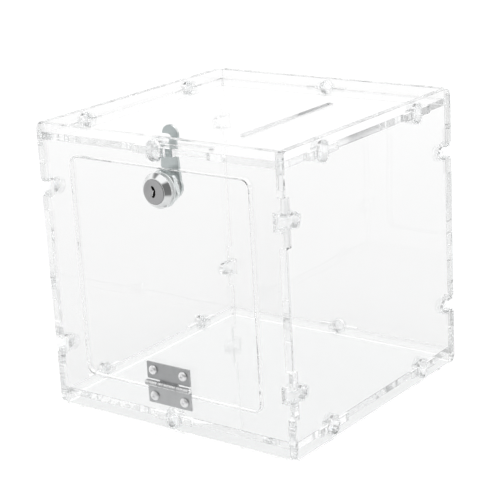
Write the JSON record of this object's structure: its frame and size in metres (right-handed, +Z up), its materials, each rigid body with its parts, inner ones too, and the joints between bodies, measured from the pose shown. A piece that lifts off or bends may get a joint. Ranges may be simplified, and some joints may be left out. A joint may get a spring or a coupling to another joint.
{
  "type": "donation box",
  "caption": "Clear acrylic cube-shaped donation box with a slot in the inset top, a large drop-down front door on a small hinge, and a cam lock with a hooked cam.",
  "frame": {"origin": "centre of the whole object's footprint, on the plane it stands on", "axes": "+Z up, -Y towards the side with the door and lock, +X to the right when facing the door"},
  "size_m": [0.2016, 0.2054, 0.2049],
  "materials": {
    "clear_acrylic": "clear polished acrylic sheet",
    "clear_clip": "clear moulded plastic",
    "satin_steel": "satin",
    "bright_steel": "bright nickel plate",
    "lock_chrome": "polished chrome plate",
    "plug_metal": "fine turned",
    "zinc_steel": "bright zinc plate",
    "cam_steel": "dull zinc plate",
    "brass": "stamped"
  },
  "bodies": {
    "box": {"left_panel": "clear_acrylic", "right_panel": "clear_acrylic", "front_panel": "clear_acrylic", "back_panel": "clear_acrylic", "top_panel": "clear_acrylic", "bottom_panel": "clear_acrylic", "front_corner_clips": "clear_clip", "back_corner_clips": "clear_clip", "top_panel_clips": "clear_clip", "bottom_panel_clips": "clear_clip", "hinge_leaf_frame": "satin_steel", "hinge_pin": "bright_steel", "frame_hinge_screws": "bright_steel"},
    "door": {"door_panel": "clear_acrylic", "hinge_leaf_door": "satin_steel", "door_hinge_screws": "bright_steel", "lock_housing": "lock_chrome", "lock_washer": "zinc_steel", "lock_nut": "zinc_steel"},
    "lock_rotor": {"lock_plug": "plug_metal", "lock_wafers": "brass", "lock_wafer_springs": "bright_steel", "stop_washer": "zinc_steel", "lock_cam": "cam_steel", "cam_washer": "zinc_steel", "cam_screw": "zinc_steel"}
  },
  "joints": [
    {"name": "door_hinge", "type": "hinge", "parent": "box", "child": "door", "pos_m": [0.0003, -0.10035, 0.0325], "axis": [1, 0, 0], "range_deg": [0, 100]},
    {"name": "lock_turn", "type": "hinge", "parent": "door", "child": "lock_rotor", "pos_m": [0.0024, -0.0981, 0.1656], "axis": [0, 1, 0], "range_deg": [0, 90]}
  ]
}
